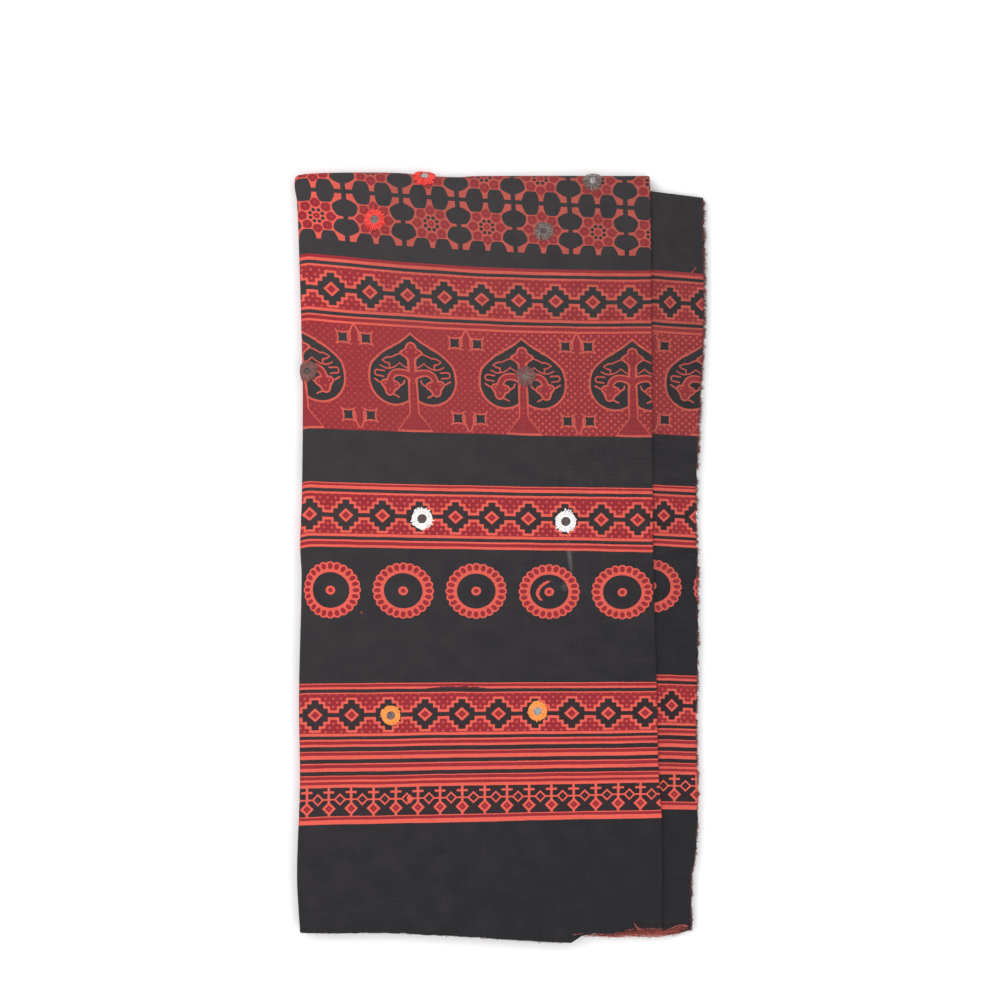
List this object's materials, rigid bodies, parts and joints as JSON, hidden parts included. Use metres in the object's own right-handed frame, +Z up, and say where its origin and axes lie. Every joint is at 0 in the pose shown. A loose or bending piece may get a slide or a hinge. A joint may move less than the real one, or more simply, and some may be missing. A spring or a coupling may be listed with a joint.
{
  "type": "ajrakh cloth",
  "caption": "Block-printed black, crimson and coral cotton ajrakh cloth with stitched-on round mirrors, folded flat into a long rectangle with a strip of a lower layer beside the front.",
  "frame": {"origin": "centre of the footprint of the folded cloth, on the surface it lies on", "axes": "+X across the folded cloth, towards the side where the lower layer shows; +Y along it, towards the folded end; +Z up, out of the printed front panel"},
  "size_m": [0.2873, 0.5393, 0.0151],
  "materials": {
    "cotton": "plain-woven cotton, block-printed in black, crimson and coral, matt and slightly fuzzy",
    "mirror_glass": "silvered thin glass, slightly uneven",
    "loose_thread": "matt loose cotton threads",
    "red_thread": "stitched embroidery thread, slightly glossy",
    "grey_thread": "stitched embroidery thread",
    "brown_thread": "stitched embroidery thread",
    "white_thread": "stitched embroidery thread",
    "orange_thread": "stitched embroidery thread"
  },
  "bodies": {
    "root": {"cloth": "cotton", "frayed_end": "loose_thread", "mirror_01": "mirror_glass", "mirror_ring_01": "red_thread", "mirror_02": "mirror_glass", "mirror_ring_02": "red_thread", "mirror_03": "mirror_glass", "mirror_ring_03": "grey_thread", "mirror_04": "mirror_glass", "mirror_ring_04": "grey_thread", "mirror_05": "mirror_glass", "mirror_ring_05": "brown_thread", "mirror_06": "mirror_glass", "mirror_ring_06": "brown_thread", "mirror_07": "mirror_glass", "mirror_ring_07": "white_thread", "mirror_08": "mirror_glass", "mirror_ring_08": "white_thread", "mirror_09": "mirror_glass", "mirror_ring_09": "orange_thread", "mirror_10": "mirror_glass", "mirror_ring_10": "orange_thread"}
  },
  "joints": []
}
